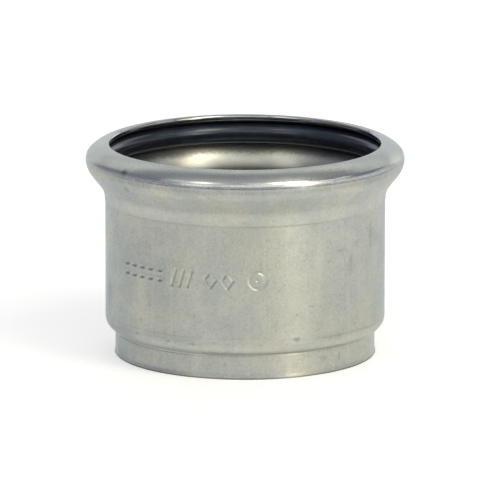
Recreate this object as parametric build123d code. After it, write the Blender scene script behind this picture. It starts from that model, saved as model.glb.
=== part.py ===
"""End cap for a 54 mm press-fit pipe system: formed socket, seal ring, closing disc and its weld.

Millimetres. +Z runs along the socket's axis, from the closed neck to the open mouth, and the origin
is the centre of the neck's cut rim, on which the cap stands. Every piece is a body of revolution, so
each outline is drawn as radius (x) against height (y) and turned about the axis.
"""

import os
from math import acos, cos, degrees, radians, sin, tan

from build123d import *

# Tube and pipe
PIPE_DIAMETER = 54.0
PIPE_CLEARANCE = 0.25  # radial gap between the pipe and the socket's wall
WALL = 1.5
BEAD_WALL = 1.35  # the wall is stretched thinner where the bead is rolled
SOCKET_RADIUS = PIPE_DIAMETER / 2 + PIPE_CLEARANCE
BODY_RADIUS = SOCKET_RADIUS + WALL

# Neck: the tube's narrow end, parted off with a slightly turned-out edge
NECK_RADIUS = 26.7
CUT_FLARE = 0.2
CUT_FLARE_HEIGHT = 0.9

# Shoulder: two tangent bends from the neck out to the body, which also stop the pipe
SHOULDER_TOP = 7.74
CREASE_RADIUS = 0.5  # outside radius of the hollow bend at the neck
KNUCKLE_RADIUS = 2.6  # outside radius of the full bend at the body
SHOULDER_STEP = BODY_RADIUS - NECK_RADIUS
SHOULDER_ANGLE = degrees(acos(1 - SHOULDER_STEP / (CREASE_RADIUS + KNUCKLE_RADIUS)))
SHOULDER_FOOT = SHOULDER_TOP - (CREASE_RADIUS + KNUCKLE_RADIUS) * sin(radians(SHOULDER_ANGLE))

# Bead: the rolled chamber round the mouth, which holds the seal ring
BEAD_RADIUS = 32.72
BEAD_EQUATOR = 40.5
FLANK_ANGLE = 38.0  # between the bead's cone and the axis
FOOT_RADIUS = 5.0  # hollow bend from the body into the flank
LOWER_BEND_RADIUS = 4.5
UPPER_BEND_RADIUS = 2.2
UPPER_BEND_ANGLE = 45.0
LIP_RADIUS = 27.78
LIP_EDGE_ROUNDING = 0.25

# Seal ring
SEAL_SECTION = 4.0
SEAL_INNER_RADIUS = 27.1
SEAL_HEIGHT = 39.8

# Closing disc and weld
DISC_THICKNESS = 2.0
DISC_RECESS = 1.5
DISC_CLEARANCE = 0.05
WELD_LEG = 1.2
WELD_CROWN = 0.15  # how far the weld's face bulges past a flat fillet


def crown_radius():
    """Outside radius of the long bend that carries the bead's top in to the lip."""
    turned = radians(UPPER_BEND_ANGLE)
    reach = BEAD_RADIUS - LIP_RADIUS - UPPER_BEND_RADIUS * (1 - cos(turned))
    return reach / sin(turned)


def flank_foot(inset, bead_inset):
    """Height at which the straight wall ends and the flank's first bend begins."""
    angle = radians(FLANK_ANGLE)
    bends = FOOT_RADIUS + inset + LOWER_BEND_RADIUS - bead_inset
    step = (BEAD_RADIUS - bead_inset) - (BODY_RADIUS - inset)
    cone_step = step - bends * (1 - cos(angle))
    return BEAD_EQUATOR - bends * sin(angle) - cone_step / tan(angle)


def shoulder_bends(start, inset):
    """The hollow and the full bend from the neck's wall out to the body's wall."""
    crease = JernArc(start, (0, 1), CREASE_RADIUS + inset, -SHOULDER_ANGLE)
    knuckle = JernArc(crease @ 1, crease % 1, KNUCKLE_RADIUS - inset, SHOULDER_ANGLE)
    return [crease, knuckle]


def bead_bends(start, inset, bead_inset):
    """The bends of the bead, from the straight wall out to the equator and in to the lip."""
    foot = JernArc(start, (0, 1), FOOT_RADIUS + inset, -FLANK_ANGLE)
    lower_radius = LOWER_BEND_RADIUS - bead_inset
    equator = (BEAD_RADIUS - bead_inset, BEAD_EQUATOR)
    lower = JernArc(equator, (0, -1), lower_radius, -FLANK_ANGLE)
    flank = Line(foot @ 1, lower @ 1)
    upper = JernArc(equator, (0, 1), UPPER_BEND_RADIUS - bead_inset, UPPER_BEND_ANGLE)
    crown = JernArc(upper @ 1, upper % 1, crown_radius() - bead_inset, 90 - UPPER_BEND_ANGLE)
    return [foot, flank, lower, upper, crown]


def wall_outline(inset, bead_inset, rim_flare):
    """One face of the formed wall, from the rim to the lip, at a depth below the outer face."""
    neck_radius = NECK_RADIUS - inset
    flare = Line((neck_radius + rim_flare, 0), (neck_radius, CUT_FLARE_HEIGHT))
    neck = Line(flare @ 1, (neck_radius, SHOULDER_FOOT))
    shoulder = shoulder_bends(neck @ 1, inset)
    body_top = (BODY_RADIUS - inset, flank_foot(inset, bead_inset))
    body = Line(shoulder[-1] @ 1, body_top)
    return [flare, neck, *shoulder, body, *bead_bends(body_top, inset, bead_inset)]


def turned(profile):
    """The solid that a radius-height profile makes when it is turned about the axis."""
    return revolve(Plane.XZ * profile, Axis.Z)


def socket_body():
    """Neck, shoulder, straight socket, bead and curled lip, formed from one tube."""
    outside = wall_outline(0, 0, CUT_FLARE)
    inside = wall_outline(WALL, BEAD_WALL, 0)
    rim = Line(outside[0] @ 0, inside[0] @ 0)
    lip = Line(outside[-1] @ 1, inside[-1] @ 1)
    profile = make_face(outside + [lip] + inside + [rim])
    lip_corners = profile.vertices().filter_by(lambda corner: corner.Y > (lip @ 1).Y - 0.01)
    lip_corners = lip_corners.filter_by(lambda corner: corner.X < LIP_RADIUS + 0.01)
    return turned(fillet(lip_corners, LIP_EDGE_ROUNDING))


def seal_ring():
    """Rubber ring of round section that lies in the bead."""
    section_radius = SEAL_SECTION / 2
    section = Pos(SEAL_INNER_RADIUS + section_radius, SEAL_HEIGHT) * Circle(section_radius)
    return turned(section)


def end_disc():
    """Flat disc that closes the neck, set back from its rim."""
    radius = NECK_RADIUS - WALL - DISC_CLEARANCE
    return Pos(0, 0, DISC_RECESS) * Cylinder(
        radius, DISC_THICKNESS, align=(Align.CENTER, Align.CENTER, Align.MIN)
    )


def end_weld():
    """Fillet weld in the corner between the disc's outer face and the neck's wall."""
    root = (NECK_RADIUS - WALL, DISC_RECESS)
    disc_toe = (root[0] - WELD_LEG, DISC_RECESS)
    wall_toe = (root[0], DISC_RECESS - WELD_LEG)
    bulge = WELD_LEG / 2 + WELD_CROWN * cos(radians(45))
    face = ThreePointArc(disc_toe, (root[0] - bulge, root[1] - bulge), wall_toe)
    profile = make_face([Line(root, disc_toe), face, Line(wall_toe, root)])
    return turned(profile)


PIECES = [socket_body, seal_ring, end_disc, end_weld]

os.makedirs("parts", exist_ok=True)
for piece in PIECES:
    export_step(piece(), f"parts/{piece.__name__}.step")
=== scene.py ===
"""Looks of a 54 mm press-fit end cap: pickled stainless socket, rubber seal, disc and weld.

The outlines repeat the CAD model's dimensions in millimetres, as radius against height, except that
the lip's edges are rounded more, by 0.55 mm for 0.25. Every mesh is written in metres. Azimuth 0 is
the side that faces the camera (-Y), growing towards +X.
"""
import math

import bpy
import numpy as np
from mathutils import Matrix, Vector


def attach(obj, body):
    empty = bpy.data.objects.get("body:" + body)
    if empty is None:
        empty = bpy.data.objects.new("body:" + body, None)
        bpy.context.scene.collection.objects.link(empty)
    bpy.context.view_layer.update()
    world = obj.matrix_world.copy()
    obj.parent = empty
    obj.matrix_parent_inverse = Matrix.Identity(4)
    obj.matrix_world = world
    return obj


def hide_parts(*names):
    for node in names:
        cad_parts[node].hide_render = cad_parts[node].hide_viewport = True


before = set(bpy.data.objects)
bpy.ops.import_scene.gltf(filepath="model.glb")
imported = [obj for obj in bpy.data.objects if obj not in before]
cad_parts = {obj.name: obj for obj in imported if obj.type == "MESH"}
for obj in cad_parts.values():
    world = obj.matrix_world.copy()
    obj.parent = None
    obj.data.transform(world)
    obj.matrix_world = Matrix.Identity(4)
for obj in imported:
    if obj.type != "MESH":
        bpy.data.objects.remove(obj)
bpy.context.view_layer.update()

MM = 0.001

# ---------------------------------------------------------------- dimensions, mm
WALL = 1.5
BEAD_WALL = 1.35
BODY_RADIUS = 28.75
NECK_RADIUS = 26.7
CUT_FLARE = 0.2
CUT_FLARE_HEIGHT = 0.9
SHOULDER_TOP = 7.74
CREASE_RADIUS = 0.5
KNUCKLE_RADIUS = 2.6
BEAD_RADIUS = 32.72
BEAD_EQUATOR = 40.5
FLANK_ANGLE = 38.0
FOOT_RADIUS = 5.0
LOWER_BEND_RADIUS = 4.5
UPPER_BEND_RADIUS = 2.2
UPPER_BEND_ANGLE = 45.0
LIP_RADIUS = 27.78
LIP_EDGE_ROUNDING = 0.55
RIM_EDGE_ROUNDING = 0.06
SEAL_INNER_RADIUS = 27.1
SEAL_SECTION = 4.0
SEAL_HEIGHT = 39.8
DISC_RADIUS = 25.15
DISC_THICKNESS = 2.0
DISC_RECESS = 1.5
WELD_LEG = 1.2
STAMP_FOOT = 19.0
STAMP_HEIGHT = 4.0
STAMP_DEPTH = 0.24
STAMP_STROKE = 0.26
FLASH_RADIUS = 0.12
WELD_RIPPLES = 110

SHOULDER_BENDS = CREASE_RADIUS + KNUCKLE_RADIUS
SHOULDER_ANGLE = math.degrees(math.acos(1 - (BODY_RADIUS - NECK_RADIUS) / SHOULDER_BENDS))
SHOULDER_FOOT = SHOULDER_TOP - SHOULDER_BENDS * math.sin(math.radians(SHOULDER_ANGLE))
UPPER_BEND_REACH = UPPER_BEND_RADIUS * (1 - math.cos(math.radians(UPPER_BEND_ANGLE)))
CROWN_REACH = BEAD_RADIUS - LIP_RADIUS - UPPER_BEND_REACH
CROWN_RADIUS = CROWN_REACH / math.sin(math.radians(UPPER_BEND_ANGLE))
LIP_FACE_END = LIP_RADIUS + LIP_EDGE_ROUNDING
STAMP_TOP = STAMP_FOOT + STAMP_HEIGHT

# heights in mm of what the forming tools leave on the outer face, and of two dark lines, one painted shade at
# the bead's foot and one above the shoulder
TIGHT_CREASE = 4.95
LOOSE_CREASE = 4.72
LOOSE_RIDGE = 5.25
SHOULDER_RIDGE = 8.6
SHOULDER_LINE = 8.15
FOOT_LINE = 32.02

# way in mm from the lip down the bead's outer face to its two turned lines, the first a painted highlight and
# the second a scored groove with painted dark reflection, and a value off that face
POLISHED_LINE = 5.50
SCORED_LINE = 6.02
OFF_FACE = 99.0

# where bands of colour start and end, in mm: heights, except the last two, which are radii
# INSIDE_SHADE and the two sheens are toned, and stand for reflections rather than the metal: INSIDE_SHADE is
# painted shade, the sheens painted light
INSIDE_SHADE = (33.3, 32.2)
GREASE_START = (35.4, 36.9)
GREASE_END = (37.25, 37.05)
SHOULDER_SHEEN_START = (4.8, 5.6)
SHOULDER_SHEEN_END = (7.6, 6.2)
FOOT_SHEEN_START = (32.1, 32.5)
FOOT_SHEEN_END = (35.2, 33.8)
RIM_SHADE = (0.40, 0.12)
DISC_HEAT_TINT = (21.5, 24.0)
WELD_HEAT_TINT = (24.7, 25.2)


# ---------------------------------------------------------------- outlines
class Outline:
    """A chain of straight runs and tangent bends, sampled as (radius, height) points in mm."""

    def __init__(self, start, heading):
        self.points = [start]
        self.heading = math.radians(heading)

    def straight(self, length, step):
        r, z = self.points[-1]
        count = max(1, math.ceil(length / step))
        for k in range(1, count + 1):
            way = length * k / count
            self.points.append((r + way * math.cos(self.heading), z + way * math.sin(self.heading)))

    def bend(self, radius, angle, step):
        """Turns by angle degrees, to the left if positive."""
        r, z = self.points[-1]
        side = math.copysign(1, angle)
        centre = (r - side * radius * math.sin(self.heading), z + side * radius * math.cos(self.heading))
        turn = math.radians(angle)
        count = max(3, math.ceil(radius * abs(turn) / step))
        for k in range(1, count + 1):
            way = self.heading + turn * k / count
            r, z = centre[0] + side * radius * math.sin(way), centre[1] - side * radius * math.cos(way)
            self.points.append((r, z))
        self.heading += turn


def flank_foot(inset, bead_inset):
    """Height at which the straight wall ends and the bead's flank begins."""
    angle = math.radians(FLANK_ANGLE)
    bends = FOOT_RADIUS + inset + LOWER_BEND_RADIUS - bead_inset
    cone_step = (BEAD_RADIUS - bead_inset) - (BODY_RADIUS - inset) - bends * (1 - math.cos(angle))
    return BEAD_EQUATOR - bends * math.sin(angle) - cone_step / math.tan(angle), cone_step / math.sin(angle)


def wall_outline(inset, bead_inset, flare, coarse):
    """One face of the formed wall from the rim up to the lip, inset below the outer face.

    Steps are coarse times wider than where the outer face carries small relief.
    """
    foot, cone = flank_foot(inset, bead_inset)
    line = Outline((NECK_RADIUS - inset + flare, 0), 90 + math.degrees(math.atan2(flare, CUT_FLARE_HEIGHT)))
    line.straight(math.hypot(flare, CUT_FLARE_HEIGHT), 0.12 * coarse)
    line.heading = math.radians(90)
    line.straight(SHOULDER_FOOT - CUT_FLARE_HEIGHT - 0.6, 0.7)
    line.straight(0.6, 0.09 * coarse)
    line.bend(CREASE_RADIUS + inset, -SHOULDER_ANGLE, 0.08 * coarse)
    line.bend(KNUCKLE_RADIUS - inset, SHOULDER_ANGLE, 0.22 * coarse)
    height = SHOULDER_TOP
    plain = 1.2
    for top, step in ((9.3, 0.13), (STAMP_FOOT - 0.4, plain), (STAMP_TOP + 0.5, 0.16), (31.3, plain)):
        line.straight(top - height, plain if coarse > 1 else step)
        height = top
    line.straight(foot - height, 0.12 * coarse)
    line.bend(FOOT_RADIUS + inset, -FLANK_ANGLE, 0.28 * coarse)
    line.straight(cone, 0.5 * coarse)
    line.bend(LOWER_BEND_RADIUS - bead_inset, FLANK_ANGLE, 0.12 * coarse)
    line.bend(UPPER_BEND_RADIUS - bead_inset, UPPER_BEND_ANGLE, 0.09 * coarse)
    line.bend(CROWN_RADIUS - bead_inset, 90 - UPPER_BEND_ANGLE, 0.28 * coarse)
    return line.points


def rounded_corner(points, corner, before, after, radius, count=4):
    """Adds an arc for the square corner between two directions to a list of points."""
    before, after = np.array(before, float), np.array(after, float)
    centre = np.array(corner, float) - radius * before + radius * after
    for k in range(count + 1):
        way = math.pi / 2 * k / count
        points.append(tuple(centre + radius * (before * math.sin(way) - after * math.cos(way))))


def lip_edge(crown_centre, face_radius, side, count=8):
    """Arc that rounds one edge of the lip off: side 1 from the crown's top face, -1 to its underside."""
    reach = face_radius - side * LIP_EDGE_ROUNDING
    centre = np.array((LIP_FACE_END, crown_centre + math.sqrt(reach ** 2 - LIP_EDGE_ROUNDING ** 2)))
    lean = math.asin(LIP_EDGE_ROUNDING / reach)
    first, last = (math.pi / 2 - lean, math.pi) if side > 0 else (math.pi, 1.5 * math.pi - lean)
    turns = np.linspace(first, last, count + 1)
    return [tuple(centre + LIP_EDGE_ROUNDING * np.array((math.cos(t), math.sin(t)))) for t in turns]


def clear_of_edges(points):
    """The points of a wall outline that lie between the rounded edges of the rim and of the lip."""
    above_rim = [(r, z) for r, z in points if z > RIM_EDGE_ROUNDING]
    return [(r, z) for r, z in above_rim if z < BEAD_EQUATOR or r > LIP_FACE_END]


def body_outline():
    """Closed outline of the formed tube, and how many of its points are on the outer face."""
    outer = wall_outline(0, 0, CUT_FLARE, 1)
    inner = wall_outline(WALL, BEAD_WALL, 0, 2)
    points = clear_of_edges(outer)
    face_count = len(points)
    crown_centre = outer[-1][1] - CROWN_RADIUS
    points += lip_edge(crown_centre, CROWN_RADIUS, 1)
    points += lip_edge(crown_centre, CROWN_RADIUS - BEAD_WALL, -1)
    points += clear_of_edges(inner[::-1])
    rounded_corner(points, inner[0], (0, -1), (1, 0), RIM_EDGE_ROUNDING)
    rounded_corner(points, outer[0], (1, 0), (0, 1), RIM_EDGE_ROUNDING)
    return np.array(points), face_count


# ---------------------------------------------------------------- meshes
def lathe(name, outline, azimuths, offset=None, swell=0.0, poles=()):
    """A closed surface made by turning a closed outline.

    offset moves points along the outline's normal and swell moves them outwards, both in mm. poles are
    the heights on the axis that close a solid one, below its first point and above its last.
    """
    count, turns = len(outline), len(azimuths)
    along = np.roll(outline, -1, 0) - np.roll(outline, 1, 0)
    normal = np.stack([along[:, 1], -along[:, 0]], 1) / np.linalg.norm(along, axis=1)[:, None]
    push = offset if offset is not None else np.zeros((turns, count))
    radius = outline[None, :, 0] + push * normal[None, :, 0] + swell
    height = outline[None, :, 1] + push * normal[None, :, 1]
    sweep = azimuths[:, None]
    points = np.stack([radius * np.sin(sweep), -radius * np.cos(sweep), height], 2).reshape(-1, 3)
    points = points.tolist() + [(0, 0, pole) for pole in poles]
    row = np.arange(turns)[:, None] * count
    next_row = np.roll(row, -1, 0)
    column = np.arange(count)[None, :]
    next_column = np.roll(column, -1, 1)
    faces = np.stack([row + column, next_row + column, next_row + next_column, row + next_column], 2)
    faces = faces[:, :count - len(poles) // 2].reshape(-1, 4).tolist()
    for k in range(turns if poles else 0):
        here, there = k * count, (k + 1) % turns * count
        faces += [(there, here, turns * count), (here + count - 1, there + count - 1, turns * count + 1)]
    mesh = bpy.data.meshes.new(name)
    mesh.from_pydata([Vector(point) * MM for point in points], [], faces)
    mesh.polygons.foreach_set("use_smooth", [True] * len(mesh.polygons))
    mesh.update()
    piece = bpy.data.objects.new(name, mesh)
    bpy.context.scene.collection.objects.link(piece)
    return piece


def store(piece, name, values, azimuths):
    """Keeps one number per outline point, or per azimuth and outline point, for the material."""
    attribute = piece.data.attributes.new(name, "FLOAT", "POINT")
    spread = np.asarray(values, np.float32) + np.zeros((len(azimuths), 1), np.float32)
    attribute.data.foreach_set("value", spread.ravel())


def signed_degrees(azimuths):
    """Azimuths in degrees from -180 to 180, one row each."""
    return np.degrees(np.mod(azimuths[:, None] + math.pi, 2 * math.pi) - math.pi)


def beyond_seam(degrees):
    """1 right of the tube's levelled seam, where the shoulder is rolled tighter, and 0 left of it."""
    return smooth_step(degrees, -19.0, -18.2) * smooth_step(degrees, 95, 60)


def burnished_arc(degrees):
    """How far the bead's band was burnished: fully in front and mostly at the back, little at the sides."""
    front = smooth_step(degrees, -60, -46) * smooth_step(degrees, 74, 56)
    return 0.12 + 0.88 * np.maximum(front, 0.7 * smooth_step(np.abs(degrees), 108, 135))


def even_azimuths(count):
    return np.radians(np.arange(count) * 360 / count)


def stamp_azimuths():
    """Azimuths with fine steps where the marks are stamped and wider steps elsewhere."""
    first, last = -60, 12
    fine = np.arange(first, last, 0.45)
    coarse = np.arange(last, first + 360, 1.8)
    return np.radians(np.concatenate([fine, coarse]))


def smooth_step(value, low, high):
    way = np.clip((value - low) / (high - low), 0, 1)
    return way * way * (3 - 2 * way)


def bump_at(value, centre, half_width):
    return np.exp(-(((value - centre) / half_width) ** 2))


# ---------------------------------------------------------------- stamped marks
def bar(u, v, start, end):
    """Distance from surface points to a straight stroke."""
    a, b = np.array(start, float), np.array(end, float)
    ab = b - a
    along = np.clip(((u - a[0]) * ab[0] + (v - a[1]) * ab[1]) / (ab @ ab), 0, 1)
    return np.hypot(u - a[0] - along * ab[0], v - a[1] - along * ab[1])


def ring(u, v, centre, radius):
    """Distance from surface points to a circular stroke."""
    return np.abs(np.hypot(u - centre[0], v - centre[1]) - radius)


def stamp_strokes(u, v):
    """Distances to each stroke of a plain row of stamped dashes, ticks, diamonds and a ring."""
    low, high = STAMP_FOOT, STAMP_TOP
    middle = (low + high) / 2
    strokes = [ring(u, v, (2.6, middle), 1.7), bar(u, v, (2.5, middle), (2.7, middle))]
    for place in (-7.2, -3.6):
        corners = [(place - 1.2, middle), (place, high - 0.3), (place + 1.2, middle), (place, low + 0.3)]
        for k in range(4):
            strokes.append(bar(u, v, corners[k - 1], corners[k]))
    for place in (-15.2, -13.4, -11.6):
        strokes.append(bar(u, v, (place - 0.5, low + 0.3), (place + 0.5, high - 0.4)))
    for place in (-28.2, -25.8, -23.4, -21.0, -18.6):
        for rise in (-1.0, 1.0):
            strokes.append(bar(u, v, (place - 0.35, middle + rise), (place + 0.35, middle + rise)))
    return strokes


def stamp_relief(u, v):
    """Height of the stamped row above the plain wall, in mm, at arc length u and height v."""
    nearest = np.minimum.reduce(stamp_strokes(u, v))
    groove = 1 - smooth_step(nearest, 0.12, STAMP_STROKE + 0.12)
    burr = bump_at(nearest, STAMP_STROKE + 0.25, 0.16)
    return STAMP_DEPTH * (0.16 * burr - groove)


def from_lip(outline, face_count):
    """Way in mm from the lip down the outer face to each of its points, and OFF_FACE elsewhere."""
    steps = np.linalg.norm(np.diff(outline[:face_count], axis=0), axis=1)
    reach = LIP_EDGE_ROUNDING + np.append(np.cumsum(steps[::-1])[::-1], 0)
    return np.append(reach, np.full(len(outline) - face_count, OFF_FACE))


def body_relief(outline, face_count, azimuths):
    """Small departures of the real wall from a perfect turned surface, in mm."""
    sweep, degrees = azimuths[:, None], signed_degrees(azimuths)
    radius, height = outline[None, :, 0], outline[None, :, 1]
    outside = (np.arange(len(outline)) < face_count)[None, :]
    wave = 0.022 * np.sin(3 * sweep + 0.8 + 0.05 * height) + 0.014 * np.sin(5 * sweep + 2.1 - 0.09 * height)
    wave = wave * np.clip((BEAD_RADIUS - radius) / 4.0 + 0.1, 0.15, 1) * smooth_step(height, 0.1, 1.0)
    arc = np.radians(degrees) * BODY_RADIUS
    near_stamps = (height > STAMP_FOOT - 1) & (height < STAMP_TOP + 1.5)
    stamps = stamp_relief(arc + 0 * height, height + 0 * arc) * near_stamps
    step = 0.09 * (smooth_step(height, 31.9, 32.15) - smooth_step(height, 32.6, 35.5))
    wander = 0.10 * np.sin(2 * sweep + 1.1) + 0.06 * np.sin(5 * sweep + 0.4)
    tight = beyond_seam(degrees)
    slack = 1 - 0.55 * smooth_step(degrees, 5, 45)
    crease = -0.14 * tight * slack * bump_at(height, TIGHT_CREASE + 0.5 * wander, 0.14)
    loose = 0.10 * bump_at(height, LOOSE_RIDGE, 0.22) - 0.08 * bump_at(height, LOOSE_CREASE, 0.12)
    crease = crease + (1 - tight) * loose
    ridge = 0.03 * bump_at(height, SHOULDER_RIDGE + wander, 0.25)
    scored = -0.02 * bump_at(from_lip(outline, face_count), SCORED_LINE, 0.12)[None, :]
    return wave + outside * (stamps + step + crease + ridge + scored)


def burred(points, azimuths):
    """Radial growth of the cut rim's outer edge, which the parting tool leaves uneven, in mm."""
    sweep = azimuths[:, None]
    uneven = 0.55 + 0.25 * np.sin(7 * sweep + 1.0) + 0.20 * np.sin(17 * sweep + 0.3) * np.sin(5 * sweep)
    near_edge = np.exp(-points[None, :, 1] / 0.4) * (points[None, :, 0] > NECK_RADIUS - 0.3)
    return 0.10 * (uneven - 1) * near_edge


def gloss_over(outline, face_count, arc):
    """How burnished the wall is at each point: 1 in the bead's band and 0.9 on the lip's edge."""
    radius, height = outline[:, 0], outline[:, 1]
    reach = from_lip(outline, face_count)
    crown = 0.45 * (1 - smooth_step(reach, 5.0, 6.4))
    band = 0.55 * smooth_step(reach, 4.2, 5.1) * (1 - smooth_step(reach, 6.0, 6.4))
    past_face = np.arange(len(outline)) >= face_count
    edge = past_face & (height > 42.0) & (height < 43.72) & (radius < LIP_RADIUS + 1.2)
    return crown + band * arc + 0.9 * edge


def dark_lines(outline, face_count, degrees):
    """How dark two lines are: painted shade at the step of the bead's foot, and a dark line above the
    shoulder.
    """
    height = outline[None, :, 1] + np.where(np.arange(len(outline)) < face_count, 0, OFF_FACE)
    back = smooth_step(np.abs(degrees), 100, 120)
    foot = 0.15 + 0.85 * np.maximum(smooth_step(degrees, -76, -58) * smooth_step(degrees, 56, 22), 0.6 * back)
    low = np.maximum(0.9 * smooth_step(degrees, 24, 38) * smooth_step(degrees, 76, 64), 0.5 * back)
    low = np.maximum(low, 0.35 * smooth_step(degrees, -66, -50) * smooth_step(degrees, -16, -26))
    wander = 0.05 * np.sin(9 * np.radians(degrees) + 0.7)
    low_line = bump_at(height, SHOULDER_LINE + wander, 0.26)
    return 0.40 * foot * bump_at(height, FOOT_LINE, 0.17) + 0.40 * low * low_line


def make_body():
    outline, face_count = body_outline()
    azimuths = stamp_azimuths()
    relief = body_relief(outline, face_count, azimuths)
    piece = lathe("formed_socket", outline, azimuths, relief, burred(outline, azimuths))
    outside = 1.0 * (np.arange(len(outline)) < face_count)
    reach = from_lip(outline, face_count)
    degrees = signed_degrees(azimuths)
    arc = burnished_arc(degrees)
    seamless = 1 - beyond_seam(degrees)
    store(piece, "gloss", gloss_over(outline, face_count, arc), azimuths)
    # painted dark reflection along the scored groove, and painted shade in a faint wide band below it
    scored = bump_at(reach, SCORED_LINE, 0.17) + 0.22 * bump_at(reach, SCORED_LINE + 0.88, 0.5)
    store(piece, "scored", arc * scored, azimuths)
    # a painted highlight line across the bead
    widened = 0.10 + 0.10 * smooth_step(degrees, 22, 34) * smooth_step(degrees, 64, 54)
    store(piece, "polished", arc * bump_at(reach, POLISHED_LINE, widened), azimuths)
    store(piece, "dark_lines", dark_lines(outline, face_count, degrees), azimuths)
    # painted light on the shoulder's softer left part
    store(piece, "soft_shoulder", outside * seamless * bump_at(outline[:, 1], 5.45, 0.55), azimuths)
    store(piece, "inside", 1 - outside, azimuths)
    return piece


def make_seal():
    """Round rubber ring with the fine flash that its mould leaves low on the inside, which carries a painted
    highlight.
    """
    section = SEAL_SECTION / 2
    flash = 180 + 71
    turn = np.radians(np.concatenate([np.arange(-99, flash - 6, 5.0), np.arange(flash - 5, flash + 5, 0.5)]))
    centre = SEAL_INNER_RADIUS + section
    outline = np.stack([centre + section * np.cos(turn), SEAL_HEIGHT + section * np.sin(turn)], 1)
    azimuths = even_azimuths(360)
    across = section * (turn - math.radians(flash))
    ridge = np.sqrt(np.maximum(FLASH_RADIUS ** 2 - across ** 2, 0)) - 0.01
    piece = lathe("rubber_seal", outline, azimuths, ridge[None, :] + 0 * azimuths[:, None])
    store(piece, "flash", bump_at(across, 0, 0.11), azimuths)
    return piece


def make_disc():
    low, high = DISC_RECESS, DISC_RECESS + DISC_THICKNESS
    rounding = 0.15
    points = []
    for r in np.linspace(0.4, DISC_RADIUS - 1, 40):
        points.append((r, low + 0.03 * math.sin(r * 0.9)))
    rounded_corner(points, (DISC_RADIUS, low), (1, 0), (0, 1), rounding)
    rounded_corner(points, (DISC_RADIUS, high), (0, 1), (-1, 0), rounding)
    for r in np.linspace(DISC_RADIUS - 1, 0.4, 40):
        points.append((r, high))
    return lathe("closing_disc", np.array(points), even_azimuths(180), poles=(low, high))


def make_weld():
    """Fillet weld with the overlapping ripples that a travelling weld pool leaves."""
    root = (NECK_RADIUS - WALL, DISC_RECESS)
    points, steps = [root], 12
    for k in range(steps + 1):
        way = math.pi / 2 * k / steps
        reach = WELD_LEG * (1 - 0.16 * math.sin(2 * way))
        points.append((root[0] - reach * math.cos(way), root[1] - reach * math.sin(way)))
    outline = np.array(points)
    azimuths = even_azimuths(1080)
    ripple = np.mod(azimuths * WELD_RIPPLES / (2 * math.pi), 1)
    crest = 0.05 * np.sin(math.pi * ripple) ** 0.6 - 0.03
    weight = np.array([0] + [math.sin(math.pi * k / steps) for k in range(steps + 1)])
    return lathe("disc_weld", outline, azimuths, crest[:, None] * weight[None, :])


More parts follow.
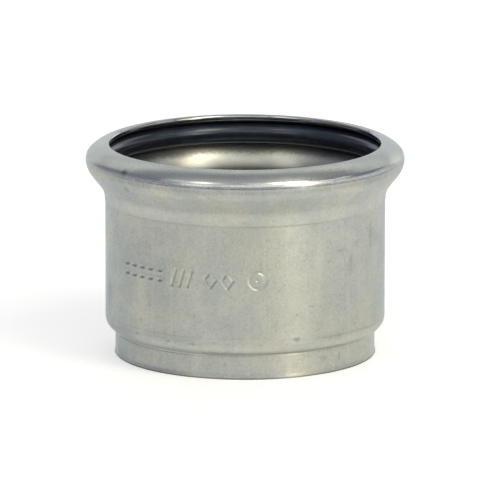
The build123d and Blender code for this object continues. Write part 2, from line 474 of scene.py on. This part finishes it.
# ---------------------------------------------------------------- materials
class Nodes:
    """Short helpers for building one material's node tree."""

    def __init__(self, name):
        self.material = bpy.data.materials.new(name)
        self.material.use_nodes = True
        self.tree = self.material.node_tree
        self.shader = self.tree.nodes["Principled BSDF"]
        self.place = self.tree.nodes.new("ShaderNodeTexCoord").outputs["Object"]

    def join(self, source, target):
        if isinstance(source, bpy.types.NodeSocket):
            self.tree.links.new(source, target)
        else:
            target.default_value = source

    def scaled(self, scale):
        node = self.tree.nodes.new("ShaderNodeMapping")
        self.join(self.place, node.inputs["Vector"])
        node.inputs["Scale"].default_value = scale
        return node.outputs["Vector"]

    def noise(self, scale, detail, roughness=0.5, vector=None):
        node = self.tree.nodes.new("ShaderNodeTexNoise")
        self.join(vector or self.place, node.inputs["Vector"])
        node.inputs["Scale"].default_value = scale
        node.inputs["Detail"].default_value = detail
        node.inputs["Roughness"].default_value = roughness
        return node.outputs["Fac"]

    def cells(self, scale):
        node = self.tree.nodes.new("ShaderNodeTexVoronoi")
        self.join(self.place, node.inputs["Vector"])
        node.inputs["Scale"].default_value = scale
        return node.outputs["Distance"]

    def math(self, operation, first, second, third=0.0):
        node = self.tree.nodes.new("ShaderNodeMath")
        node.operation = operation
        for socket, value in zip(node.inputs, (first, second, third)):
            self.join(value, socket)
        return node.outputs["Value"]

    def ramp(self, value, low, high, start=0.0, end=1.0):
        node = self.tree.nodes.new("ShaderNodeMapRange")
        node.interpolation_type = "SMOOTHSTEP"
        limits = {"From Min": low, "From Max": high, "To Min": start, "To Max": end}
        for key, item in {"Value": value, **limits}.items():
            self.join(item, node.inputs[key])
        return node.outputs["Result"]

    def band(self, value, limits, start=0.0, end=1.0):
        """A ramp over a length in metres whose two limits are in mm."""
        return self.ramp(value, limits[0] * MM, limits[1] * MM, start, end)

    def mix(self, factor, first, second):
        node = self.tree.nodes.new("ShaderNodeMix")
        node.data_type = "RGBA"
        self.join(factor, node.inputs["Factor"])
        for key, item in (("A", first), ("B", second)):
            socket = [s for s in node.inputs if s.name == key and s.type == "RGBA"][0]
            self.join(item if isinstance(item, bpy.types.NodeSocket) else (*item, 1.0), socket)
        return [s for s in node.outputs if s.type == "RGBA"][0]

    def height(self):
        node = self.tree.nodes.new("ShaderNodeSeparateXYZ")
        self.join(self.place, node.inputs["Vector"])
        return node.outputs["Z"]

    def radius(self):
        flat = self.scaled((1, 1, 0))
        node = self.tree.nodes.new("ShaderNodeVectorMath")
        node.operation = "LENGTH"
        self.join(flat, node.inputs[0])
        return node.outputs["Value"]

    def attribute(self, name):
        node = self.tree.nodes.new("ShaderNodeAttribute")
        node.attribute_name = name
        return node.outputs["Fac"]

    def spot(self, centre, reach):
        """1 at centre, fading unevenly to 0 at about reach (metres along x, y and z)."""
        node = self.tree.nodes.new("ShaderNodeMapping")
        node.vector_type = "TEXTURE"
        self.join(self.place, node.inputs["Vector"])
        node.inputs["Location"].default_value = centre
        node.inputs["Scale"].default_value = reach
        length = self.tree.nodes.new("ShaderNodeVectorMath")
        length.operation = "LENGTH"
        self.join(node.outputs["Vector"], length.inputs[0])
        ragged = self.math("MULTIPLY_ADD", self.noise(1700, 2), 0.9, length.outputs["Value"])
        return self.ramp(ragged, 0.6, 1.5, 1.0, 0.0)

    def bump(self, height, strength, distance, normal=None):
        node = self.tree.nodes.new("ShaderNodeBump")
        node.inputs["Strength"].default_value = strength
        node.inputs["Distance"].default_value = distance
        self.join(height, node.inputs["Height"])
        if normal is not None:
            self.join(normal, node.inputs["Normal"])
        return node.outputs["Normal"]

    def finish(self, colour, roughness, normal, metallic=1.0):
        self.join(colour, self.shader.inputs["Base Color"])
        self.join(roughness, self.shader.inputs["Roughness"])
        self.join(normal, self.shader.inputs["Normal"])
        self.shader.inputs["Metallic"].default_value = metallic
        return self.material


def stainless_material():
    n = Nodes("pickled_stainless")
    gloss, inside = n.attribute("gloss"), n.attribute("inside")
    height = n.height()
    streaks = n.noise(700, 3, 0.6, n.scaled((1, 1, 0.07)))
    clouds = n.noise(110, 4, 0.6)
    warmth = n.noise(55, 3, 0.5)
    blotches = n.noise(480, 4, 0.65)
    fine = n.noise(2300, 3, 0.65)
    brushed = n.noise(1500, 2, 0.6, n.scaled((1, 1, 0.35)))
    colour = n.mix(n.ramp(clouds, 0.36, 0.64), (0.43, 0.45, 0.42), (0.50, 0.50, 0.45))
    colour = n.mix(n.ramp(warmth, 0.42, 0.66, 0.0, 0.35), colour, (0.48, 0.47, 0.37))
    colour = n.mix(n.ramp(blotches, 0.50, 0.70, 0.0, 0.34), colour, (0.37, 0.37, 0.30))
    colour = n.mix(n.ramp(blotches, 0.47, 0.28, 0.0, 0.28), colour, (0.38, 0.44, 0.45))
    colour = n.mix(n.ramp(fine, 0.50, 0.78, 0.0, 0.55), colour, (0.26, 0.28, 0.26))
    colour = n.mix(n.ramp(fine, 0.48, 0.25, 0.0, 0.35), colour, (0.62, 0.63, 0.57))
    colour = n.mix(n.ramp(streaks, 0.52, 0.75, 0.0, 0.30), colour, (0.58, 0.59, 0.53))
    pits = n.math("MULTIPLY", n.ramp(n.cells(520), 0.11, 0.04), n.ramp(n.noise(160, 2), 0.50, 0.60))
    pitted = n.math("SUBTRACT", 0.28, n.math("MULTIPLY", inside, 0.2))
    colour = n.mix(n.math("MULTIPLY", pits, pitted), colour, (0.160, 0.165, 0.155))
    # painted light and shade on lines and bands round the wall
    colour = tool_marked(n, colour, height, brushed)
    colour = n.mix(n.math("MULTIPLY", gloss, 0.6), colour, (0.54, 0.56, 0.58))
    # painted shade on the left side, then handling marks and water stains
    colour = stained(n, colour)
    colour = n.mix(n.math("MULTIPLY", inside, 0.7), colour, (0.53, 0.52, 0.48))
    edge = n.math("MULTIPLY", gloss, inside)
    colour = n.mix(n.math("MULTIPLY", edge, 0.95), colour, (0.42, 0.44, 0.49))
    # painted shade: the inside grows darker below about 33 mm
    below = n.math("MULTIPLY", inside, n.band(height, INSIDE_SHADE, 0.0, 0.55))
    colour = n.mix(below, colour, (0.10, 0.085, 0.06))
    # grease, and painted shadow and reflection of the seal on the inner flank just under it
    greasy = n.band(n.math("MULTIPLY_ADD", fine, 1.2 * MM, height), GREASE_START, 0.0, 0.72)
    greasy = n.math("MULTIPLY", greasy, n.band(height, GREASE_END))
    greasy = n.math("MULTIPLY", greasy, n.math("SUBTRACT", inside, gloss))
    colour = n.mix(greasy, colour, (0.035, 0.037, 0.042))
    base = n.math("ADD", n.ramp(clouds, 0.3, 0.7, 0.42, 0.36), n.ramp(fine, 0.3, 0.7, -0.02, 0.05))
    broken = n.math("MULTIPLY_ADD", n.math("SUBTRACT", brushed, 0.5), 0.5, n.math("MULTIPLY", gloss, gloss))
    roughness = n.math("SUBTRACT", base, n.math("MULTIPLY", n.math("MULTIPLY", broken, gloss), 0.06))
    roughness = n.math("SUBTRACT", roughness, n.math("MULTIPLY", gloss, 0.22))
    roughness = n.math("SUBTRACT", roughness, n.math("MULTIPLY", inside, 0.07))
    roughness = n.math("ADD", roughness, n.math("MULTIPLY", n.attribute("polished"), 0.22))
    tooling = n.noise(1.0, 2, 0.6, n.scaled((60, 60, 4200)))
    lines = n.bump(n.math("MULTIPLY", tooling, gloss), 0.8, 0.00003)
    rougher_outside = n.math("SUBTRACT", 1.0, n.math("MULTIPLY", inside, 0.6))
    grain = n.bump(n.math("MULTIPLY", fine, rougher_outside), 0.30, 0.00003, lines)
    dents = n.bump(blotches, 0.22, 0.00006, grain)
    normal = n.bump(streaks, 0.12, 0.00005, dents)
    n.shader.inputs["Anisotropic"].default_value = 0.6
    n.shader.inputs["Anisotropic Rotation"].default_value = 0.25
    n.shader.inputs["Specular Tint"].default_value = (0.80, 0.83, 0.88, 1.0)
    return n.finish(colour, roughness, normal)


def tool_marked(n, colour, height, brushed):
    """Adds painted light and shade round the wall: the bead's painted highlight and dark reflection, shade at
    the foot and the rim, lighter bands at shoulder and foot; and a dark line above the shoulder.
    """
    # painted dark reflection along the scored groove, and painted shade in a faint band below it
    scored = n.math("MULTIPLY", n.attribute("scored"), n.ramp(brushed, 0.38, 0.55, 0.6, 1.0))
    colour = n.mix(scored, colour, (0.060, 0.072, 0.120))
    # painted highlight: a near-white line across the bead
    polished = n.math("MULTIPLY", n.attribute("polished"), n.ramp(brushed, 0.36, 0.60, 0.2, 0.9))
    colour = n.mix(polished, colour, (0.96, 0.96, 0.92))
    # painted light: a lighter band round the shoulder, stronger on its softer left part
    shoulder = n.math("MULTIPLY", n.band(height, SHOULDER_SHEEN_START), n.band(height, SHOULDER_SHEEN_END))
    shoulder = n.math("MULTIPLY_ADD", shoulder, 0.12, n.math("MULTIPLY", n.attribute("soft_shoulder"), 0.2))
    colour = n.mix(shoulder, colour, (0.74, 0.74, 0.69))
    # painted light: a lighter band above the bead's foot
    lighter = n.math("MULTIPLY", n.band(height, FOOT_SHEEN_START), n.band(height, FOOT_SHEEN_END))
    colour = n.mix(n.math("MULTIPLY", lighter, 0.12), colour, (0.66, 0.66, 0.60))
    # painted shade at the step of the bead's foot, and a dark line above the shoulder
    lines = n.math("MULTIPLY", n.attribute("dark_lines"), n.ramp(n.noise(95, 3, 0.6), 0.40, 0.60, 0.6, 1.0))
    colour = n.mix(lines, colour, (0.190, 0.195, 0.170))
    # painted shade along the bottom of the cut rim
    return n.mix(n.band(height, RIM_SHADE, 0.0, 0.8), colour, (0.10, 0.11, 0.14))


# azimuth in degrees, height and radius in mm, size across and upright in mm, strength, colour
# The first four aren't marks: they are painted shade that darkens the left side, which the lights leave too
# bright.
STAINS = (
    (-62.0, 36.8, 30.0, 11.0, 4.0, 0.30, (0.24, 0.27, 0.29)),
    (-64.0, 6.6, 28.4, 12.0, 2.6, 0.34, (0.24, 0.26, 0.28)),
    (-75.0, 14.0, 28.75, 3.5, 5.5, 0.55, (0.22, 0.24, 0.27)),
    (-73.0, 1.6, 26.7, 3.0, 2.0, 0.35, (0.24, 0.27, 0.31)),
    (-49.2, 41.8, 32.2, 1.3, 1.0, 0.75, (0.20, 0.18, 0.12)),
    (-48.0, 38.3, 32.0, 1.3, 1.1, 0.45, (0.20, 0.20, 0.17)),
    (-45.5, 40.1, 32.7, 0.5, 0.3, 0.40, (0.20, 0.20, 0.19)),
    (-47.3, 10.7, 28.75, 0.2, 0.9, 0.60, (0.17, 0.18, 0.16)),
    (21.3, 8.4, 28.75, 1.1, 0.85, 0.70, (0.21, 0.24, 0.27)),
    (21.5, 13.4, 28.75, 0.4, 0.35, 0.50, (0.20, 0.21, 0.20)),
    (28.0, 15.0, 28.75, 0.9, 0.25, 0.35, (0.22, 0.22, 0.20)),
    (37.0, 3.2, 26.7, 1.3, 1.0, 0.30, (0.22, 0.21, 0.17)),
    (46.0, 3.0, 26.7, 0.5, 1.2, 0.40, (0.20, 0.20, 0.17)),
    (48.2, 22.5, 28.75, 1.2, 3.6, 0.28, (0.24, 0.25, 0.22)),
    (43.5, 25.6, 28.75, 2.2, 0.6, 0.28, (0.24, 0.25, 0.22)),
    (62.8, 27.4, 28.75, 1.1, 4.2, 0.32, (0.24, 0.25, 0.22)),
    (-49.5, 7.8, 28.72, 0.8, 0.35, 0.40, (0.24, 0.23, 0.17)),
    (-33.0, 7.4, 28.70, 0.8, 0.4, 0.50, (0.24, 0.22, 0.15)),
    (-31.0, 6.2, 28.20, 0.5, 0.4, 0.40, (0.22, 0.22, 0.18)),
    (-22.0, 7.4, 28.70, 1.3, 0.4, 0.50, (0.22, 0.22, 0.18)),
    (9.0, 39.5, 31.5, 0.5, 0.7, 0.30, (0.22, 0.23, 0.24)),
)


def stained(n, colour):
    """Lays the patches of painted shade and the larger handling marks and water stains over a colour."""
    for azimuth, height, radius, across, upright, strength, tint in STAINS:
        turn = math.radians(azimuth)
        centre = Vector((radius * math.sin(turn), -radius * math.cos(turn), height)) * MM
        mask = n.spot(centre, (across * MM, across * MM, upright * MM))
        colour = n.mix(n.math("MULTIPLY", mask, strength), colour, tint)
    return colour


def rubber_material():
    n = Nodes("epdm_rubber")
    fine = n.noise(2600, 3, 0.6)
    dust = n.noise(300, 4, 0.6)
    colour = n.mix(n.ramp(dust, 0.4, 0.75), (0.014, 0.017, 0.027), (0.023, 0.028, 0.043))
    # painted highlight: a light line along the mould's flash
    colour = n.mix(n.math("MULTIPLY", n.attribute("flash"), 0.9), colour, (0.75, 0.77, 0.82))
    roughness = n.ramp(dust, 0.3, 0.7, 0.18, 0.26)
    n.shader.inputs["Specular IOR Level"].default_value = 0.7
    n.shader.inputs["Specular Tint"].default_value = (0.76, 0.88, 1.0, 1.0)
    return n.finish(colour, roughness, n.bump(fine, 0.12, 0.00003), metallic=0.0)


def disc_material():
    n = Nodes("turned_disc")
    radius = n.radius()
    rings = n.noise(1.0, 3, 0.7, n.math("MULTIPLY", radius, 5200))
    blotches = n.noise(140, 4, 0.6)
    colour = n.mix(n.ramp(blotches, 0.35, 0.7), (0.50, 0.51, 0.48), (0.60, 0.60, 0.56))
    tint = n.band(radius, DISC_HEAT_TINT)
    colour = n.mix(n.math("MULTIPLY", tint, 0.5), colour, (0.42, 0.33, 0.22))
    roughness = n.ramp(rings, 0.3, 0.7, 0.30, 0.44)
    return n.finish(colour, roughness, n.bump(rings, 0.25, 0.00004))


def weld_material():
    n = Nodes("weld_bead")
    radius = n.radius()
    fine = n.noise(1800, 3, 0.6)
    patches = n.noise(200, 4, 0.6)
    colour = n.mix(n.ramp(patches, 0.35, 0.7), (0.46, 0.44, 0.40), (0.60, 0.57, 0.50))
    colour = n.mix(n.band(radius, WELD_HEAT_TINT, 0.0, 0.4), colour, (0.30, 0.27, 0.33))
    return n.finish(colour, n.ramp(fine, 0.3, 0.7, 0.28, 0.42), n.bump(fine, 0.2, 0.00004))


def dress(piece, material, node):
    piece.data.materials.append(material)
    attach(piece, "root")
    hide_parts(node)


dress(make_body(), stainless_material(), "socket_body")
dress(make_seal(), rubber_material(), "seal_ring")
dress(make_disc(), disc_material(), "end_disc")
dress(make_weld(), weld_material(), "end_weld")


# ---------------------------------------------------------------- stage, lights, camera
FLOOR_RADIUS = 3.0
LIGHT_TARGET = (0, 0, 0.022)
SKY_STRENGTH = 0.37
CAMERA_ELEVATION = 12.45
CAMERA_DISTANCE = 1.5
CAMERA_TARGET = (0.00101, 0, 0.02105)
CAMERA_LENS = 525.0


def plain_floor():
    """A wide floor, open just inside the cap's standing rim, so that the cap's underside can be seen."""
    azimuths = even_azimuths(180)
    rings = [(NECK_RADIUS - WALL / 2) * MM, 0.3, FLOOR_RADIUS]
    points = [(r * math.sin(a), -r * math.cos(a), 0) for r in rings for a in azimuths]
    count = len(azimuths)
    faces = []
    for start in (0, count):
        for here in range(count):
            there = (here + 1) % count
            inner, outer = start, start + count
            faces.append((inner + here, inner + there, outer + there, outer + here))
    mesh = bpy.data.meshes.new("floor")
    mesh.from_pydata(points, [], faces)
    floor = bpy.data.objects.new("floor", mesh)
    bpy.context.scene.collection.objects.link(floor)
    n = Nodes("pale_floor")
    tone = n.noise(40, 2, 0.5)
    colour = n.mix(tone, (0.84, 0.84, 0.84), (0.86, 0.86, 0.86))
    n.shader.inputs["Emission Color"].default_value = (1.0, 0.98, 0.985, 1.0)
    n.shader.inputs["Emission Strength"].default_value = 0.38
    floor.data.materials.append(n.finish(colour, 0.7, n.bump(tone, 0.02, 0.0001), metallic=0.0))


def soft_light(name, azimuth, elevation, distance, size, power, colour):
    """A rectangular softbox that faces the object; azimuth 0 is the camera's side."""
    a, e = math.radians(azimuth), math.radians(elevation)
    away = Vector((math.sin(a) * math.cos(e), -math.cos(a) * math.cos(e), math.sin(e)))
    data = bpy.data.lights.new(name, "AREA")
    data.shape = "RECTANGLE"
    data.size, data.size_y = size
    data.energy = power
    data.color = colour
    light = bpy.data.objects.new(name, data)
    light.location = Vector(LIGHT_TARGET) + away * distance
    light.rotation_mode = "QUATERNION"
    light.rotation_quaternion = away.to_track_quat("Z", "Y")
    bpy.context.scene.collection.objects.link(light)


WARM = (1.0, 0.95, 0.75)
CREAM = (1.0, 1.0, 0.87)
AMBER = (1.0, 0.85, 0.60)
NEUTRAL = (1.0, 0.98, 0.92)
SKY = (0.80, 0.85, 1.0)

# name, azimuth and elevation in degrees, distance and size in metres, power in watts, colour
SOFTBOXES = (
    ("panel", 0, 60, 1.2, (2.1, 1.25), 2.6, WARM),
    ("panel_left", -48, 48, 1.2, (0.8, 0.7), 0.5, CREAM),
    ("panel_right", 30, 50, 1.2, (0.7, 0.7), 0.8, CREAM),
    ("key_right_high", 44, 54, 1.2, (0.4, 0.4), 1.9, WARM),
    ("key_right", 45, 42, 1.2, (0.35, 0.25), 0.6, WARM),
    ("key_right_low", 39, 19, 1.2, (0.4, 0.3), 1.0, CREAM),
    ("tail_right", 73, 37, 1.2, (0.7, 0.2), 0.5, WARM),
    ("fill_right", 53, 24, 1.2, (0.3, 0.6), 0.9, AMBER),
    ("edge_right", 43, 6, 1.2, (0.2, 0.3), 0.5, AMBER),
    ("key_left_high", -41, 54, 1.2, (0.25, 0.3), 0.4, CREAM),
    ("key_left", -36, 22, 1.2, (0.45, 0.3), 0.6, CREAM),
    ("front", 3, 30, 1.2, (0.9, 0.4), 1.0, CREAM),
    ("over_back", 180, 45, 1.2, (2.2, 0.6), 3.0, CREAM),
    ("back", 180, 14, 1.4, (2.4, 0.65), 3.3, CREAM),
    ("back_right", 132, 12, 1.4, (1.2, 0.5), 0.8, WARM),
    ("side_right", 85, 10, 1.3, (1.0, 0.4), 0.6, NEUTRAL),
)


def studio():
    world = bpy.data.worlds.new("studio")
    world.use_nodes = True
    background = world.node_tree.nodes["Background"]
    background.inputs["Color"].default_value = (*SKY, 1.0)
    background.inputs["Strength"].default_value = SKY_STRENGTH
    bpy.context.scene.world = world
    for softbox in SOFTBOXES:
        soft_light(*softbox)


def aim_camera():
    elevation = math.radians(CAMERA_ELEVATION)
    away = Vector((0, -math.cos(elevation), math.sin(elevation)))
    data = bpy.data.cameras.new("camera")
    data.sensor_width = 36.0
    data.lens = CAMERA_LENS
    data.clip_start, data.clip_end = 0.05, 20.0
    camera = bpy.data.objects.new("camera", data)
    camera.location = Vector(CAMERA_TARGET) + away * CAMERA_DISTANCE
    camera.rotation_mode = "QUATERNION"
    camera.rotation_quaternion = away.to_track_quat("Z", "Y")
    bpy.context.scene.collection.objects.link(camera)
    bpy.context.scene.camera = camera


plain_floor()
studio()
aim_camera()
bpy.context.scene.view_settings.view_transform = "Standard"
